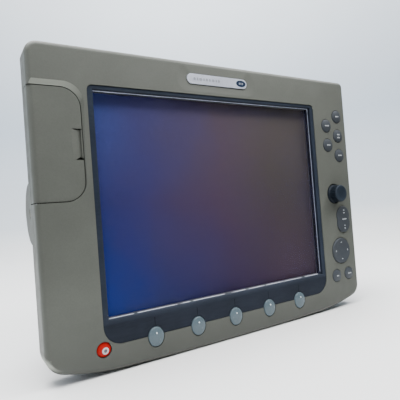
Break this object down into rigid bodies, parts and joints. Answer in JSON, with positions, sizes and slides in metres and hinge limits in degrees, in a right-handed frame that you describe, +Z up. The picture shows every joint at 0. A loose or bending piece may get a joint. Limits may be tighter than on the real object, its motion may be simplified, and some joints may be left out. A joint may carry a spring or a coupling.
{
  "type": "marine fish finder display",
  "caption": "Wide marine display head with a recessed screen, soft keys, a control column with knob and trackpad, a hinged card door, and a rear case with sockets and bracket bosses.",
  "frame": {"origin": "under the middle of the object's box, level with the lowest point of the bezel", "axes": "+X to the user's right, +Y from the user into the object, +Z up; the screen faces -Y"},
  "size_m": [0.358, 0.1076, 0.265],
  "materials": {
    "bezel_grey": "fine satin moulded texture",
    "case_grey": "moulded texture, slightly darker than the bezel",
    "surround_navy": "satin dark navy",
    "window_clear": "clear, anti-reflection coated",
    "lcd_dark": "dark, switched off",
    "sheet_steel": "pressed sheet",
    "reflector_white": "white",
    "lamp_glass": "frosted tube",
    "badge_silver": "silver",
    "inlay_blue": "dark blue enamel",
    "power_red": "red silicone",
    "key_grey": "matt silicone",
    "soft_key_grey": "matt silicone, light blue-grey",
    "knob_dark": "matt, moulded over",
    "silicone_mat": "translucent grey",
    "seal_black": "matt",
    "nylon_black": "moulded",
    "socket_black": "moulded, slight sheen",
    "socket_insert": "moulded",
    "circuit_green": "solder resist",
    "aluminium_parts": "plain",
    "steel": "plain stainless",
    "brass_parts": "plain"
  },
  "bodies": {
    "housing": {"backlight_lamps": "lamp_glass", "backlight_unit": "reflector_white", "badge_inlay": "inlay_blue", "badge_plate": "badge_silver", "board_screws": "steel", "bracket_inserts": "brass_parts", "buzzer": "nylon_black", "card_reader": "nylon_black", "case_screws": "steel", "case_seal": "seal_black", "chassis": "aluminium_parts", "chassis_screws": "steel", "connector_board": "circuit_green", "data_sockets": "socket_black", "display_window": "window_clear", "door_hinge_pins": "steel", "door_seal": "seal_black", "encoder_body": "nylon_black", "front_bezel": "bezel_grey", "heat_sink": "aluminium_parts", "inverter_board": "circuit_green", "keypad_board": "circuit_green", "keypad_mat": "silicone_mat", "knob_seal": "seal_black", "lcd_frame": "sheet_steel", "lcd_panel": "lcd_dark", "main_board": "circuit_green", "power_socket": "socket_black", "rear_case": "case_grey", "rocker_pin": "steel", "screen_surround": "surround_navy", "socket_inserts": "socket_insert", "socket_nuts": "nylon_black", "socket_seals": "seal_black", "soft_key_board": "circuit_green", "soft_key_mat": "silicone_mat", "stud_inserts": "brass_parts", "trackpad_carrier": "nylon_black", "vent_plug": "nylon_black", "window_seal": "seal_black"},
    "card_door": {"card_door": "bezel_grey"},
    "knob": {"rotary_knob": "knob_dark", "encoder_shaft": "brass_parts"},
    "rocker": {"range_rocker": "key_grey"},
    "gimbal": {"trackpad_gimbal": "nylon_black"},
    "pad": {"trackpad": "key_grey"},
    "eject": {"eject_button": "nylon_black"},
    "page_key": {"page_key": "key_grey"},
    "active_key": {"active_key": "key_grey"},
    "waypoint_key": {"waypoint_key": "key_grey"},
    "data_key": {"data_key": "key_grey"},
    "menu_key": {"menu_key": "key_grey"},
    "ok_key": {"ok_key": "key_grey"},
    "cancel_key": {"cancel_key": "key_grey"},
    "power_key": {"power_key": "power_red"},
    "soft_key_1": {"soft_key_1": "soft_key_grey"},
    "soft_key_2": {"soft_key_2": "soft_key_grey"},
    "soft_key_3": {"soft_key_3": "soft_key_grey"},
    "soft_key_4": {"soft_key_4": "soft_key_grey"},
    "soft_key_5": {"soft_key_5": "soft_key_grey"}
  },
  "joints": [
    {"name": "card_door_hinge", "type": "hinge", "parent": "housing", "child": "card_door", "pos_m": [-0.175, -0.03325, 0.185], "axis": [0, 0, -1], "range_deg": [0, 100]},
    {"name": "page_key_press", "type": "slide", "parent": "housing", "child": "page_key", "axis": [0, 1, 0], "range_m": [0, 0.0007], "stiffness_N_per_m": 600, "springref_m": -0.001},
    {"name": "active_key_press", "type": "slide", "parent": "housing", "child": "active_key", "axis": [0, 1, 0], "range_m": [0, 0.0007], "stiffness_N_per_m": 600, "springref_m": -0.001},
    {"name": "waypoint_key_press", "type": "slide", "parent": "housing", "child": "waypoint_key", "axis": [0, 1, 0], "range_m": [0, 0.0007], "stiffness_N_per_m": 600, "springref_m": -0.001},
    {"name": "data_key_press", "type": "slide", "parent": "housing", "child": "data_key", "axis": [0, 1, 0], "range_m": [0, 0.0007], "stiffness_N_per_m": 600, "springref_m": -0.001},
    {"name": "menu_key_press", "type": "slide", "parent": "housing", "child": "menu_key", "axis": [0, 1, 0], "range_m": [0, 0.0007], "stiffness_N_per_m": 600, "springref_m": -0.001},
    {"name": "ok_key_press", "type": "slide", "parent": "housing", "child": "ok_key", "axis": [0, 1, 0], "range_m": [0, 0.0007], "stiffness_N_per_m": 600, "springref_m": -0.001},
    {"name": "cancel_key_press", "type": "slide", "parent": "housing", "child": "cancel_key", "axis": [0, 1, 0], "range_m": [0, 0.0007], "stiffness_N_per_m": 600, "springref_m": -0.001},
    {"name": "power_key_press", "type": "slide", "parent": "housing", "child": "power_key", "axis": [0, 1, 0], "range_m": [0, 0.0007], "stiffness_N_per_m": 600, "springref_m": -0.001},
    {"name": "soft_key_1_press", "type": "slide", "parent": "housing", "child": "soft_key_1", "axis": [0, 1, 0], "range_m": [0, 0.0007], "stiffness_N_per_m": 600, "springref_m": -0.001},
    {"name": "soft_key_2_press", "type": "slide", "parent": "housing", "child": "soft_key_2", "axis": [0, 1, 0], "range_m": [0, 0.0007], "stiffness_N_per_m": 600, "springref_m": -0.001},
    {"name": "soft_key_3_press", "type": "slide", "parent": "housing", "child": "soft_key_3", "axis": [0, 1, 0], "range_m": [0, 0.0007], "stiffness_N_per_m": 600, "springref_m": -0.001},
    {"name": "soft_key_4_press", "type": "slide", "parent": "housing", "child": "soft_key_4", "axis": [0, 1, 0], "range_m": [0, 0.0007], "stiffness_N_per_m": 600, "springref_m": -0.001},
    {"name": "soft_key_5_press", "type": "slide", "parent": "housing", "child": "soft_key_5", "axis": [0, 1, 0], "range_m": [0, 0.0007], "stiffness_N_per_m": 600, "springref_m": -0.001},
    {"name": "knob_turn", "type": "hinge", "parent": "housing", "child": "knob", "pos_m": [0.1487, -0.04325, 0.1317], "axis": [0, -1, 0], "continuous": true},
    {"name": "rocker_tilt", "type": "hinge", "parent": "housing", "child": "rocker", "pos_m": [0.1601, -0.03825, 0.1013], "axis": [1, 0, 0], "range_deg": [-3.5, 3.5], "stiffness_Nm_per_rad": 0.35},
    {"name": "pad_tilt_sideways", "type": "hinge", "parent": "housing", "child": "gimbal", "pos_m": [0.1525, -0.03725, 0.0653], "axis": [0, 0, 1], "range_deg": [-4, 4], "stiffness_Nm_per_rad": 0.4},
    {"name": "pad_tilt_up_down", "type": "hinge", "parent": "gimbal", "child": "pad", "pos_m": [0.1525, -0.03725, 0.0653], "axis": [1, 0, 0], "range_deg": [-4, 4], "stiffness_Nm_per_rad": 0.4},
    {"name": "eject_press", "type": "slide", "parent": "housing", "child": "eject", "axis": [0, 1, 0], "range_m": [0, 0.004], "stiffness_N_per_m": 300, "springref_m": -0.001}
  ]
}
